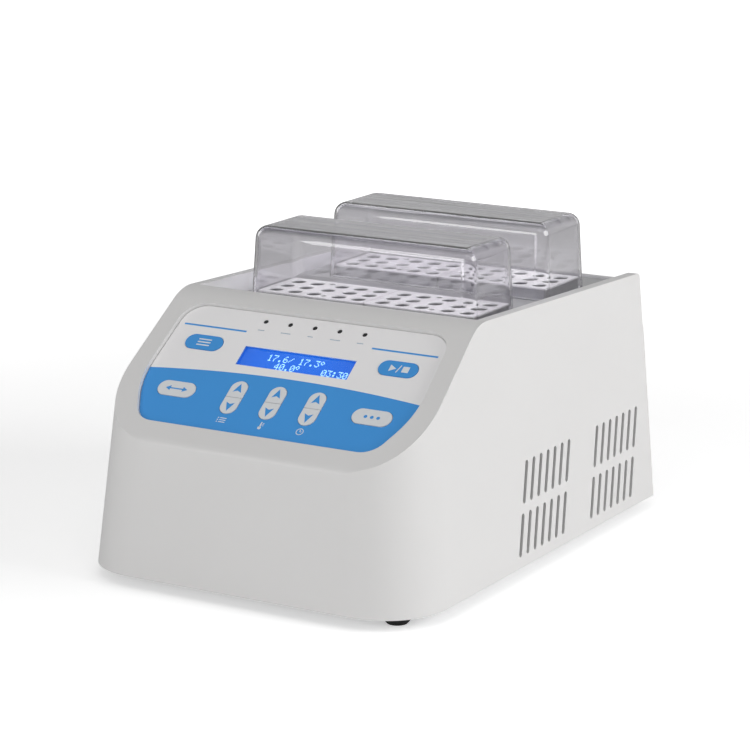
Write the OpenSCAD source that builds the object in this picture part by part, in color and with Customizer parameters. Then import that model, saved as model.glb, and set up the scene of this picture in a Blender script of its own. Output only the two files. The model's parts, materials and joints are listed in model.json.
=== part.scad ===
// Dual-block dry bath incubator: a drafted moulded casing with a sloping control panel,
// a deck with two heated wells, four lift-out aluminium tube blocks and two clear covers.
// Millimetres. The front faces -Y, +Z is up, and the feet stand on z = 0.

/* [Casing] */
// Width across the bottom edge of the casing
body_w = 235; // [225:1:260]
// Depth from the front bottom edge to the rearmost bulge of the back
body_d = 327; // [322:1:345]
// Height of the casing's front face, from its bottom edge to the start of the panel
front_h = 84; // [78:1:88]
// Inward lean of both side walls, degrees
side_lean = 5.2; // [3:0.1:6]
// Backward lean of the front face, degrees
front_lean = 4.7; // [2:0.1:6]
// Wall thickness of the moulding
wall = 3; // [2.4:0.1:3.6]
// Radius of the two large front corners
corner_r = 42; // [30:1:46]
// Radius of the rear corners
rear_r = 9; // [6:0.5:12]
// Thickness of the tray's side walls at the deck
tray_wall = 7.4; // [6.5:0.1:9]
// Rise of the small lip behind the deck
rear_lip = 1.6; // [1:0.1:3]

/* [Panel] */
// Slope of the control panel, degrees from level
panel_tilt = 36.6; // [34:0.2:40]
// Distance of the overlay's middle from the panel's lower edge, along the slope
panel_mid = 56.4; // [55:0.2:60]
// Depth of the panel recess below the bezel
recess_d = 3.2; // [2.6:0.1:4.2]
// Thickness of the printed overlay
overlay_t = 0.8; // [0.6:0.1:1.2]
// Greatest width of the overlay, where its sides turn inwards
overlay_w = 188.8; // [184:0.2:192]
// Top edge of the overlay, above its middle
overlay_top = 51.5; // [50:0.5:53]
// Bottom edge of the overlay, below its middle
overlay_bot = 41.5; // [40:0.1:44]
// Drop of the overlay's widest place below its middle
overlay_knee = 11; // [8:0.5:14]
// Lean of the overlay's sides above that place, degrees
overlay_lean = 3.1; // [2:0.1:4]
// Turn of the overlay's sides below it, degrees
overlay_turn = 25; // [18:0.5:30]
// Radius of the overlay's lower corners
overlay_r = 15; // [9:0.5:18]
// Width of the display window
lcd_w = 77; // [74:0.5:80]
// Height of the display window
lcd_h = 14.8; // [13:0.1:17]
// Height of the display window's middle above the overlay's middle
lcd_v = 17.4; // [16:0.1:19]
// Spacing of the indicator lamps
lamp_pitch = 17.2; // [16:0.1:19]
// Height of the lamps above the overlay's middle
lamp_v = 45; // [44:0.1:46]
// Diameter of an indicator lamp
lamp_d = 3; // [2.5:0.1:3.6]
// Length of a wide key
key_l = 26.5; // [25:0.1:29]
// Height of a wide key, and width of a narrow one
key_w = 11.8; // [11:0.1:14]
// Distance of the wide keys from the centreline
key_x = 67.3; // [64:0.1:69]
// Height of the upper wide keys
key_upper_v = 22.9; // [22:0.1:25]
// Drop of the lower wide keys below the overlay's middle
key_lower_v = 14.6; // [13.5:0.1:16]
// Spacing of the three columns of arrow keys
arrow_pitch = 27; // [25:0.1:28]
// Length of one column of arrow keys
arrow_l = 25.6; // [24:0.1:28]
// Travel of every key
key_travel = 0.5; // [0.3:0.1:0.8]
// Gap all round a key
key_gap = 0.3; // [0.2:0.05:0.4]

/* [Deck] */
// Height of the deck above the table
deck_z = 148; // [145:0.5:151]
// Thickness of the deck plate
deck_t = 2; // [1.5:0.1:3]
// Distance between the two zones, front to back
zone_pitch = 94.7; // [92:0.1:98]
// Position of the front zone's middle, from the middle of the casing
zone_y = 4.9; // [2:0.1:8]

/* [Blocks] */
// Width of one tube block
block_w = 76; // [74:0.5:77]
// Depth of one tube block
block_d = 45; // [44:0.5:47]
// Height of a block
block_h = 46; // [42:0.5:50]
// Part of the block that stands above the deck
block_rise = 6.8; // [5:0.1:9]
// Gap between blocks, and from a block to its well
block_gap = 0.4; // [0.3:0.05:0.6]
// Diameter of a tube well
tube_d = 9.2; // [8:0.1:10]
// Depth of a tube well
tube_depth = 36; // [30:0.5:38]
// Spacing of the outer columns of wells
col_pitch = 13.8; // [13:0.1:14]
// Spacing of the middle column from its neighbours
mid_pitch = 15.8; // [15:0.1:16]
// Spacing of the rows of wells
row_pitch = 13.4; // [13:0.1:14]
// Sideways shift of the middle column's end wells, which makes room for the lifting holes
mid_shift = 2.2; // [1.5:0.1:2.6]
// Diameter of the holes for the lifting tool
lift_d = 4.2; // [3.4:0.1:4.6]

/* [Covers] */
// Width of a cover at its foot
cover_w = 159.4; // [158.5:0.1:164]
// Depth of a cover at its foot
cover_d = 58; // [54:0.1:62]
// Height of a cover
cover_h = 48; // [44:0.5:56]
// Thickness of a cover's walls
cover_wall = 1.9; // [1.5:0.1:2]
// Lean of a cover's walls, degrees
cover_lean = 2.6; // [1:0.1:3]
// Radius of the cover's edges
cover_r = 5.5; // [4:0.1:7]

/* [Heaters] */
// Wall of the pot that holds a pair of blocks
pot_wall = 2; // [1.5:0.1:2.5]
// Width of the pot's rim under the deck
pot_rim = 9; // [8:0.5:10]
// Wall of the pocket in the casing round each pot
pocket_wall = 2; // [1.6:0.1:2.6]
// Room under a pot, above its pocket's floor
pocket_room = 18; // [17:0.5:20]
// Thickness of a heater plate
plate_t = 7; // [6:0.5:9]
// Thickness of a foil heater
foil_t = 1.4; // [1:0.1:2]
// Thickness of the insulating mat under a heater
mat_t = 6; // [4:0.5:8]

/* [Vents] */
// Slots in one group
vent_n = 7; // [5:1:7]
// Spacing of the slots
vent_pitch = 9.4; // [8.8:0.1:9.8]
// Width of a slot
vent_w = 3.6; // [3:0.1:4.5]
// Lean of the slots towards the back, degrees
vent_lean = 16.6; // [10:0.2:20]
// Height of a slot's lower end, in the lower row
vent_low = 14.4; // [13.5:0.2:16]
// Length of a slot, measured upright
vent_l = 25.2; // [22:0.2:25.6]
// Upright distance between the two rows
vent_rows = 30.8; // [29:0.2:33]
// Position of the front group's first slot, at mid height
vent_y1 = -21.6; // [-24:0.2:-20]
// Position of the rear group's first slot, at mid height
vent_y2 = 74; // [72:0.2:75]

/* [Base] */
// Height of the feet
foot_h = 7.5; // [6:0.5:10]
// Diameter of a foot where it meets the base
foot_d = 22; // [18:0.5:24]
// Distance of the feet from the casing's side edges
foot_side = 24.5; // [23.5:0.5:28]
// Distance of the front feet from the casing's front edge
foot_front = 27; // [26:0.5:34]
// Distance of the rear feet from the casing's back edge
foot_rear = 26; // [25:0.5:34]
// Thickness of the base plate
base_t = 2.5; // [2:0.1:3.5]
// Clearance round the base plate
base_gap = 0.5; // [0.4:0.05:0.8]

/* [Rear] */
// Sideways position of the mains inlet's middle
inlet_x = -62; // [-66:0.5:-58]
// Height of the mains inlet's middle
inlet_z = 48; // [46:0.5:52]
// Spacing between the inlet and the power switch
switch_dx = 42; // [40:0.5:46]
// Angle to which the rocker tips on each side, degrees
rocker_tip = 8; // [6:0.5:10]

/* [Hidden] */
$fn = 64;
eps = 0.02;

// Directions of the profile's straight edges, as unit vectors in the Y-Z plane
d_level = [1, 0];
d_front = [sin(front_lean), cos(front_lean)];
d_panel = [cos(panel_tilt), sin(panel_tilt)];
rim_fall = 2.2;
d_rim = [cos(rim_fall), -sin(rim_fall)];
rear_lean = 2.4;
d_rear = [sin(rear_lean), cos(rear_lean)];
step_lean = 27;
d_step = [-sin(step_lean), cos(step_lean)];
d_upright = [0, 1];

// Corner points of the outer profile
front_y = -body_d / 2;
front_foot = [front_y, foot_h];
crease = front_foot + d_front * front_h / cos(front_lean);
rim_rise = 14.3;
rim_point = [front_y + 103.5, deck_z + rim_rise];
rear_bulge = [body_d / 2, foot_h + 96];
rear_top_y = body_d / 2 - 7.6;
step_point = rear_bulge + [0, 2];
panel_r = 30;
crease_r = 6;

// Inner levels of the panel, measured down from the bezel
overlay_n = -recess_d + overlay_t;
panel_back = -recess_d - 2.6;
board_n = panel_back - 8.6;
board_t = 1.6;
switch_top = board_n + 3.6;

// Deck, blocks and heaters
half_in = body_w / 2 - tan(side_lean) * (deck_z - foot_h) - tray_wall;
ledge_t = 3;
ledge_z = deck_z - deck_t;
tray_front = front_y + 112.1;
tray_back = rear_top_y - wall;
block_z = deck_z + block_rise - block_h;
pair_w = 2 * block_w + block_gap;
pot_in_w = pair_w + 2 * block_gap;
pot_in_d = block_d + 2 * block_gap;
pot_out_w = pot_in_w + 2 * pot_wall;
pot_out_d = pot_in_d + 2 * pot_wall;
plate_z = block_z - plate_t;
foil_z = plate_z - foil_t;
mat_z = foil_z - mat_t;
pot_floor = 2;
pot_z = mat_z - pot_floor;
pocket_in_w = pot_out_w + 2 * pot_rim + 1;
pocket_in_d = pot_out_d + 2 * pot_rim + 1;
pocket_z = pot_z - pocket_room;
zones = [zone_y, zone_y + zone_pitch];
base_top = foot_h + base_t;
foot_x = body_w / 2 - foot_side;
feet_xy = [[foot_x, front_y + foot_front], [-foot_x, front_y + foot_front],
  [foot_x, body_d / 2 - foot_rear], [-foot_x, body_d / 2 - foot_rear]];
post_xy = [[body_w / 2 - 47.5, front_y + 11.6], [body_w / 2 - 14.5, front_y + 101.5],
  [body_w / 2 - 13.5, zone_y + zone_pitch / 2], [body_w / 2 - 13.5, body_d / 2 - 13.5]];
post_top = [front_h + 7, deck_z + 2, ledge_z - 1, ledge_z - 1];
bay_w = 96;
bay_h = 46;
bay_y = body_d / 2 - 10;
bay_x = inlet_x + switch_dx / 2;

function unit(v) = v / norm(v);
function cross2(a, b) = a[0] * b[1] - a[1] * b[0];
// Meeting point of two lines, each given by a point and a direction
function meet(p, u, q, v) = p + u * cross2(q - p, v) / cross2(u, v);
// A line moved sideways to its left by t
function left(p, u, t) = p + t * [-u[1], u[0]];

// Corner scrap between a sharp corner p with arms u and v and the round of radius r inside it
module scrap(p, u, v, r) {
  half = acos(unit(u) * unit(v)) / 2;
  reach = r / tan(half);
  mid = unit(unit(u) + unit(v));
  difference() {
    polygon([p + unit(u) * reach, p - mid * r * 0.4, p + unit(v) * reach, p + mid * r / sin(half)]);
    translate(p + mid * r / sin(half)) circle(r);
  }
}

// Rectangle with rounded corners, centred on the origin
module round_rect(w, d, r) {
  difference() {
    square([w, d], center = true);
    for (sx = [-1, 1], sy = [-1, 1])
      scrap([sx * w / 2, sy * d / 2], [-sx, 0], [0, -sy], r);
  }
}

// Slot outline with round ends, l long and w wide, along X
module pill(l, w) {
  square([l - w, w], center = true);
  for (s = [-1, 1])
    translate([s * (l - w) / 2, 0]) circle(d = w);
}

// Puts Y-Z outlines across the body
module across(w) {
  rotate([90, 0, 90]) linear_extrude(w, center = true) children();
}

// Puts X-Z outlines along the body
module along(d) {
  rotate([90, 0, 0]) linear_extrude(d, center = true) children();
}

// Stands children on the sloping panel: X to the right, Y up the slope, Z out of the bezel
module on_panel() {
  translate([0, crease[0], crease[1]])
    rotate([panel_tilt, 0, 0])
      translate([0, panel_mid, 0]) children();
}

// Stands children on the inside of the rear bay, Z pointing backwards
module on_rear(x, z) {
  translate([x, bay_y, z]) rotate([-90, 0, 0]) rotate([0, 0, 180]) children();
}

// Outer side profile of the casing
module outer_profile() {
  top_back = meet(rim_point, d_rim, [rear_top_y, 0], d_upright);
  ridge = meet(crease, d_panel, rim_point, d_rim);
  step_top = meet(step_point, d_step, [rear_top_y, 0], d_upright);
  rear_foot = meet(rear_bulge, d_rear, front_foot, d_level);
  difference() {
    union() {
      polygon([front_foot, crease, ridge, top_back, step_top, step_point, rear_bulge, rear_foot]);
      scrap(step_top, d_upright, -d_step, 14);
    }
    scrap(crease, -d_front, d_panel, crease_r);
    scrap(ridge, -d_panel, d_rim, panel_r);
    scrap(top_back, -d_rim, -d_upright, 3);
    scrap(step_point, d_step, -d_upright, 12);
  }
}

// Side profile of the hollow below the panel and the deck
module inner_profile() {
  front_in = left(front_foot, d_front, -wall);
  panel_in = left(crease, d_panel, panel_back);
  rim_in = left(rim_point, d_rim, -wall);
  nose_y = tray_front - wall;
  roof_z = ledge_z - ledge_t;
  low = [0, foot_h - 1];
  rear_in = left(rear_bulge, d_rear, wall);
  back_y = rear_top_y - wall;
  polygon([meet(front_in, d_front, low, d_level), meet(front_in, d_front, panel_in, d_panel),
    meet(panel_in, d_panel, rim_in, d_rim), meet(rim_in, d_rim, [nose_y, 0], d_upright), [nose_y, roof_z],
    [back_y, roof_z], [back_y, foot_h + 110], meet(rear_in, d_rear, [0, foot_h + 92], d_level),
    meet(rear_in, d_rear, low, d_level)]);
}

// Front view outline of the leaning side walls, t inside the outer surface
module side_outline(t) {
  t_x = t / cos(side_lean);
  x_low = body_w / 2 - t_x + tan(side_lean) * foot_h;
  x_high = body_w / 2 - t_x - tan(side_lean) * (200 - foot_h);
  polygon([[-x_low, 0], [x_low, 0], [x_high, 200], [-x_high, 200]]);
}

// Material to take off so that a front corner gets radius r, t inside the outer surface
module front_corner(r, t) {
  lean = [-tan(side_lean), tan(front_lean), 1];
  e = unit(lean);
  skew = asin(tan(side_lean) * tan(front_lean) * cos(side_lean) * cos(front_lean));
  x0 = body_w / 2 - t / cos(side_lean);
  y0 = front_y + t / cos(front_lean);
  translate([x0, y0, foot_h])
    rotate([-asin(e[1]), atan2(e[0], e[2]), 0])
      translate([0, 0, -20])
        linear_extrude(240) scrap([0, 0], [0, 1], [-cos(skew), -sin(skew)], r);
}

// Material to take off at a rear corner
module rear_corner(r, t) {
  translate([body_w / 2 - t / cos(side_lean), body_d / 2 - t, foot_h])
    rotate([0, -side_lean, 0])
      translate([0, 0, -20])
        linear_extrude(240) scrap([0, 0], [0, -1], [-1, 0], r);
}

module outer_form() {
  difference() {
    intersection() {
      across(body_w + 40) outer_profile();
      along(body_d + 40) side_outline(0);
    }
    for (m = [0, 1])
      mirror([m, 0, 0]) {
        front_corner(corner_r, 0);
        rear_corner(rear_r, 0);
      }
  }
}

module inner_form() {
  difference() {
    intersection() {
      across(body_w + 40) inner_profile();
      along(body_d + 40) side_outline(wall);
    }
    for (m = [0, 1])
      mirror([m, 0, 0]) {
        front_corner(corner_r - wall, wall);
        rear_corner(rear_r - wall, wall);
      }
  }
}

// Outline of the recess and the overlay, grown by g
module overlay_outline(g) {
  c = overlay_corners(g);
  difference() {
    polygon([c[0], c[1], c[2], [-c[2][0], c[2][1]], [-c[1][0], c[1][1]], [-c[0][0], c[0][1]]]);
    for (m = [0, 1])
      mirror([m, 0, 0]) {
        scrap(c[0], [-1, 0], c[1] - c[0], overlay_top_r + g);
        scrap(c[1], c[0] - c[1], c[2] - c[1], 60 + g);
        scrap(c[2], c[1] - c[2], [-1, 0], overlay_r + g);
      }
  }
}

overlay_top_r = 15;

// Sharp corners of the outline's right half, from the top down
function overlay_corners(g) =
  let (side = [-sin(overlay_lean), cos(overlay_lean)], turn = [sin(overlay_turn), cos(overlay_turn)],
    knee = [overlay_w / 2, -overlay_knee], side_p = left(knee, side, -g), turn_p = left(knee, turn, -g))
  [meet(side_p, side, [0, overlay_top + g], d_level), meet(side_p, side, turn_p, turn),
    meet(turn_p, turn, [0, -overlay_bot - g], d_level)];

// One side's ventilation slots, cut through the leaning wall
module vents() {
  mid_z = vent_low + (vent_l + vent_rows) / 2;
  for (y1 = [vent_y1, vent_y2], i = [0 : vent_n - 1], row = [0, 1])
    translate([body_w / 2 - 8, y1 + i * vent_pitch, mid_z])
      rotate([-vent_lean, 0, 0])
        translate([0, 0, (row - 0.5) * vent_rows / cos(vent_lean)])
          rotate([90, 0, 90]) linear_extrude(40, center = true)
            rotate(90) pill(vent_l / cos(vent_lean), vent_w);
}

// Places children at the posts that take the base screws
module at_posts() {
  for (i = [0 : 3], s = [-1, 1])
    translate([s * post_xy[i][0], post_xy[i][1], 0]) children();
}

// Posts and ribs inside the moulding, trimmed by its outer form
module posts() {
  for (i = [0 : 3], s = [-1, 1])
    translate([s * post_xy[i][0], post_xy[i][1], base_top]) {
      cylinder(d = 9, h = post_top[i] - base_top);
      rotate(i == 0 ? -90 : s > 0 ? 0 : 180)
        translate([0, -1, 0]) cube([12, 2, post_top[i] - base_top - 4]);
    }
}

// Key outlines, shrunk by g
module key_shape(kind, g) {
  if (kind == "option") translate([-key_x, key_upper_v]) pill(key_l - 2 * g, key_w - 2 * g);
  if (kind == "start") translate([key_x, key_upper_v]) pill(key_l - 2 * g, key_w - 2 * g);
  if (kind == "swap") translate([-key_x, -key_lower_v]) pill(key_l - 2 * g, key_w - 2 * g);
  if (kind == "mode") translate([key_x, -key_lower_v]) pill(key_l - 2 * g, key_w - 2 * g);
}

// Upper (s = 1) or lower (s = -1) half of arrow column i, shrunk by g
module arrow_shape(i, s, g) {
  translate([i * arrow_pitch + 0.3, -key_lower_v - 0.2])
    intersection() {
      rotate(90) pill(arrow_l - 2 * g, key_w - 2 * g);
      translate([-key_w, s > 0 ? g : -arrow_l - g]) square([2 * key_w, arrow_l]);
    }
}

// Every key outline together, grown for the holes in the overlay and the moulding
module key_holes() {
  for (k = ["option", "start", "swap", "mode"])
    key_shape(k, 0);
  for (i = [-1 : 1])
    translate([i * arrow_pitch + 0.3, -key_lower_v - 0.2]) rotate(90) pill(arrow_l, key_w);
}

// Middles of the ten keys, for their stems and switches
key_xy = [[-key_x, key_upper_v], [key_x, key_upper_v], [-key_x, -key_lower_v], [key_x, -key_lower_v],
  for (i = [-1 : 1], s = [1, -1]) [i * arrow_pitch + 0.3, -key_lower_v - 0.2 + s * arrow_l / 4]];

// Feet of the posts that carry the control board
board_w = 176;
board_h = 86;
board_v = 8;
board_xy = [for (sx = [-1, 1], p = [[board_w / 2 - 5, board_h / 2 - 5], [board_w / 2 - 5, 5 - board_h / 2],
  [45, 5 - board_h / 2]]) [sx * p[0], board_v + p[1]]];

module upper_casing() {
  color([0.9, 0.9, 0.9])
  difference() {
    union() {
      difference() {
        outer_form();
        inner_form();
      }
      intersection() {
        outer_form();
        posts();
      }
      on_panel()
        for (p = board_xy)
          translate([p[0], p[1], board_n]) cylinder(d = 7, h = panel_back - board_n + 0.5);
      for (y = zones)
        translate([0, y, pocket_z - pocket_wall])
          linear_extrude(ledge_z - pocket_z + pocket_wall - 1)
            round_rect(pocket_in_w + 2 * pocket_wall, pocket_in_d + 2 * pocket_wall, 4 + pocket_wall);
      rear_bay_walls();
    }
    // tray above the deck and the seat of the deck plate
    translate([-half_in, tray_front, ledge_z]) cube([2 * half_in, tray_back - tray_front, 60]);
    translate([-half_in, tray_back - 1, deck_z + rear_lip]) cube([2 * half_in, 30, 60]);
    // pockets for the pots, with holes for their leads
    for (y = zones) {
      translate([0, y, pocket_z]) linear_extrude(ledge_z - pocket_z + 2) round_rect(pocket_in_w, pocket_in_d, 4);
      for (s = [-1, 1])
        translate([s * (pot_out_w / 2 + 2), y, pocket_z - pocket_wall - 1]) cylinder(d = 10, h = pocket_wall + 2);
    }
    // panel recess, display window, lamp and key holes
    on_panel() {
      translate([0, 0, -recess_d]) linear_extrude(recess_d + 5) overlay_outline(0.5);
      translate([0, lcd_v, panel_back - 2]) linear_extrude(6) square([lcd_w + 2, lcd_h + 2], center = true);
      translate([0, 0, panel_back - 2]) linear_extrude(6) key_holes();
      for (i = [-2 : 2])
        translate([i * lamp_pitch, lamp_v, panel_back - 2]) cylinder(d = lamp_d + 0.4, h = 8);
      for (p = board_xy)
        translate([p[0], p[1], board_n - 1]) cylinder(d = 2.6, h = 8);
    }
    for (m = [0, 1])
      mirror([m, 0, 0]) vents();
    // pilot holes for the base and deck screws
    at_posts() translate([0, 0, base_top - 1]) cylinder(d = 3.2, h = 15);
    for (p = deck_screw_xy)
      translate([p[0], p[1], ledge_z - ledge_t - 1]) cylinder(d = 3.6, h = ledge_t + 2);
    // rear bay and its openings
    rear_bay_cut();
  }
}

deck_screw_xy = [for (x = [5.3 - half_in, half_in - 5.3], y = [tray_front + 8, zones[0] + zone_pitch / 2, tray_back - 8]) [x, y]];

// The rear bay: an upright floor for the inlet and the switch, sunk into the leaning back
module rear_bay_walls() {
  intersection() {
    outer_form();
    translate([bay_x - bay_w / 2 - wall, bay_y - wall, inlet_z - bay_h / 2 - wall])
      cube([bay_w + 2 * wall, 20, bay_h + 2 * wall]);
  }
}

module rear_bay_cut() {
  on_rear(bay_x, inlet_z) linear_extrude(20) round_rect(bay_w, bay_h, 5);
  on_rear(inlet_x, inlet_z) translate([0, 0, -wall - 2]) linear_extrude(wall + 4) inlet_neck(0.3);
  on_rear(inlet_x + switch_dx, inlet_z)
    translate([0, 0, -wall - 2]) linear_extrude(wall + 4) square([switch_w + 0.6, switch_h + 0.6], center = true);
  for (s = [-1, 1])
    on_rear(inlet_x + s * 20, inlet_z) translate([0, 0, -wall - 2]) cylinder(d = 3, h = wall + 4);
}

// Base plate, lying inside the lower edge of the casing
module base_plate() {
  g = wall + base_gap + tan(side_lean) * base_t;
  x = body_w / 2 - g;
  y_front = front_y + g;
  y_back = meet(rear_bulge, d_rear, front_foot, d_level)[0] - wall - base_gap;
  color([0.72, 0.73, 0.74])
  difference() {
    translate([0, 0, foot_h])
      linear_extrude(base_t)
        difference() {
          translate([-x, y_front]) square([2 * x, y_back - y_front]);
          for (s = [-1, 1]) {
            scrap([s * x, y_front], [-s, 0], [0, 1], corner_r - wall);
            scrap([s * x, y_back], [-s, 0], [0, -1], rear_r - wall + 4);
          }
        }
    at_posts() translate([0, 0, foot_h - 1]) cylinder(d = 4.2, h = base_t + 2);
    for (p = feet_xy)
      translate([p[0], p[1], foot_h - 1]) cylinder(d = 4.4, h = base_t + 2);
    for (p = main_xy)
      translate([p[0], p[1], foot_h - 1]) cylinder(d = 3.4, h = base_t + 2);
    for (p = supply_xy)
      translate([p[0], p[1], foot_h - 1]) cylinder(d = 3.4, h = base_t + 2);
    // rows of cooling slots in the floor
    for (i = [-5 : 5], y = [front_y + 67.5, supply_yc])
      translate([i * 9, y, foot_h - 1]) linear_extrude(base_t + 2) rotate(90) pill(34, 4);
  }
}

// Pan-head screw: head above z = 0, shank below, with a cross recess
module screw(d, l, head_d, head_h) {
  difference() {
    union() {
      translate([0, 0, -l]) cylinder(d = d, h = l + 0.1);
      cylinder(d = head_d, h = head_h * 0.6);
      translate([0, 0, head_h * 0.6]) cylinder(d1 = head_d, d2 = head_d * 0.7, h = head_h * 0.4);
    }
    for (a = [0, 90])
      rotate(a) translate([-head_d * 0.3, -head_d * 0.06, head_h * 0.5]) cube([head_d * 0.6, head_d * 0.12, head_h]);
  }
}

module base_screws() {
  color([0.75, 0.76, 0.78])
  at_posts() translate([0, 0, foot_h]) rotate([180, 0, 0]) screw(3, 12, 6.4, 2);
}

module feet() {
  foot_top = foot_d / 2;
  color([0.08, 0.08, 0.08])
  for (p = feet_xy)
    translate([p[0], p[1], 0])
      difference() {
        rotate_extrude()
          polygon([[0, 0], [foot_top - 5, 0], [foot_top - 4, 1], [foot_top, foot_h - 1.2], [foot_top, foot_h], [0, foot_h]]);
        translate([0, 0, -1]) cylinder(d = 9, h = foot_h - 1.5);
        translate([0, 0, -1]) cylinder(d = 4.2, h = foot_h + 2);
      }
}

module foot_screws() {
  color([0.75, 0.76, 0.78])
  for (p = feet_xy)
    translate([p[0], p[1], foot_h - 2.5]) rotate([180, 0, 0]) screw(4, base_t + 6.5, 7.6, 2.4);
}

module deck_plate() {
  color([0.62, 0.63, 0.64])
  difference() {
    translate([-half_in + 0.3, tray_front + 0.3, ledge_z])
      cube([2 * half_in - 0.6, tray_back - tray_front - 0.6, deck_t]);
    for (y = zones)
      translate([0, y, ledge_z - 1]) linear_extrude(deck_t + 2) round_rect(pot_in_w, pot_in_d, 1.5);
    for (p = deck_screw_xy)
      translate([p[0], p[1], ledge_z - 1]) cylinder(d = 3, h = deck_t);
    for (y = zones, p = pot_screw_xy)
      translate([p[0], y + p[1], ledge_z - 1]) cylinder(d = 3, h = deck_t);
  }
}

module deck_screws() {
  color([0.75, 0.76, 0.78])
  for (p = deck_screw_xy)
    translate([p[0], p[1], ledge_z - ledge_t]) rotate([180, 0, 0]) screw(3, ledge_t + deck_t - 1.2, 5.6, 1.8);
}

pot_screw_xy = [for (x = [-1, 0, 1], s = [-1, 1]) [x * (pot_out_w / 2 - 8), s * (pot_out_d + pot_rim) / 2]];

// Pot that hangs from the deck and holds a heater and a pair of blocks
module pot(y) {
  rim_t = 2;
  color([0.8, 0.8, 0.82])
  translate([0, y, 0])
    difference() {
      union() {
        translate([0, 0, ledge_z - rim_t])
          linear_extrude(rim_t) round_rect(pot_out_w + 2 * pot_rim, pot_out_d + 2 * pot_rim, 3.5);
        translate([0, 0, pot_z])
          linear_extrude(ledge_z - pot_z) round_rect(pot_out_w, pot_out_d, 3);
      }
      translate([0, 0, pot_z + pot_floor])
        linear_extrude(100) round_rect(pot_in_w, pot_in_d, 1.5);
      for (p = pot_screw_xy)
        translate([p[0], p[1], ledge_z - rim_t - 1]) cylinder(d = 3.4, h = rim_t + 2);
      // ways out for the heater's and the sensor's leads
      translate([pot_out_w / 2 - pot_wall - 1, -6, mat_z + 1]) cube([pot_wall + 2, 12, mat_t - 1]);
      translate([-pot_out_w / 2 - 1, 0, plate_z + plate_t / 2]) rotate([0, 90, 0]) cylinder(d = 5, h = pot_wall + 2);
    }
}

module pot_a() {
  pot(zones[0]);
}

module pot_b() {
  pot(zones[1]);
}

module pot_screws() {
  color([0.75, 0.76, 0.78])
  for (y = zones, p = pot_screw_xy)
    translate([p[0], y + p[1], ledge_z - 2]) rotate([180, 0, 0]) screw(3, 2 + deck_t - 1.2, 5.6, 1.8);
}

plate_gap = 0.2;

module heater_plate(y) {
  color([0.78, 0.78, 0.8])
  translate([0, y, 0])
    difference() {
      translate([0, 0, plate_z])
        linear_extrude(plate_t) round_rect(pot_in_w - 2 * plate_gap, pot_in_d - 2 * plate_gap, 1.5);
      translate([-pot_in_w / 2, 0, plate_z + plate_t / 2]) rotate([0, 90, 0]) cylinder(d = 4.1, h = 30);
    }
}

module heater_plate_a() {
  heater_plate(zones[0]);
}

module heater_plate_b() {
  heater_plate(zones[1]);
}

// Foil heater with its lead tab
module foil_heater(y) {
  color([0.75, 0.35, 0.15])
  translate([0, y, foil_z]) {
    linear_extrude(foil_t) round_rect(pot_in_w - 6, pot_in_d - 6, 3);
    translate([pot_in_w / 2 - 4, -5, 0]) cube([3.6, 10, foil_t]);
  }
}

module foil_heater_a() {
  foil_heater(zones[0]);
}

module foil_heater_b() {
  foil_heater(zones[1]);
}

module mat(y) {
  color([0.9, 0.88, 0.8])
  translate([0, y, mat_z])
    linear_extrude(mat_t) round_rect(pot_in_w - 0.4, pot_in_d - 0.4, 1.5);
}

module mat_a() {
  mat(zones[0]);
}

module mat_b() {
  mat(zones[1]);
}

// Temperature probes, pushed into the heater plates from the left
module sensors() {
  color([0.8, 0.8, 0.8])
  for (y = zones)
    translate([-pot_out_w / 2 - 3, y, plate_z + plate_t / 2])
      rotate([0, 90, 0]) {
        cylinder(d = 4, h = 28);
        translate([0, 0, -5]) cylinder(d = 4.6, h = 5);
      }
}

// Bimetal cut-outs under the pots
module thermal_cutouts() {
  color([0.25, 0.25, 0.27])
  for (y = zones)
    translate([30, y, pot_z - 9]) {
      cylinder(d = 15, h = 7);
      translate([0, 0, 7]) cylinder(d = 17, h = 2);
      for (s = [-1, 1])
        translate([s * 4 - 0.4, -3.2, -7]) cube([0.8, 6.4, 8]);
    }
}

// Middles of the tube wells in one block
well_xy = [for (c = [-2 : 2], r = [-1 : 1])
  [c == 0 ? r * mid_shift : sign(c) * (mid_pitch + (abs(c) - 1) * col_pitch), r * row_pitch]];

// Tube block: drilled wells with countersunk mouths, and two tapped holes for the lifting tool
module tube_block(x, y) {
  top = block_z + block_h;
  color([0.82, 0.82, 0.84])
  translate([x, y, 0])
    difference() {
      translate([0, 0, block_z]) linear_extrude(block_h) round_rect(block_w, block_d, 1.2);
      for (p = well_xy)
        translate([p[0], p[1], 0]) {
          translate([0, 0, top - tube_depth]) cylinder(d = tube_d, h = tube_depth + 1);
          translate([0, 0, top - tube_depth - 4]) cylinder(d1 = 3.4, d2 = tube_d, h = 4);
          translate([0, 0, top - 0.6]) cylinder(d1 = tube_d - 0.2, d2 = tube_d + 1.4, h = 0.8);
        }
      for (s = [-1, 1])
        translate([s * 6.3, -s * 16.2, top - 12]) cylinder(d = lift_d, h = 13);
    }
}

block_x = (block_w + block_gap) / 2;

module block_a_left() {
  tube_block(-block_x, zones[0]);
}

module block_a_right() {
  tube_block(block_x, zones[0]);
}

module block_b_left() {
  tube_block(-block_x, zones[1]);
}

module block_b_right() {
  tube_block(block_x, zones[1]);
}

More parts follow.
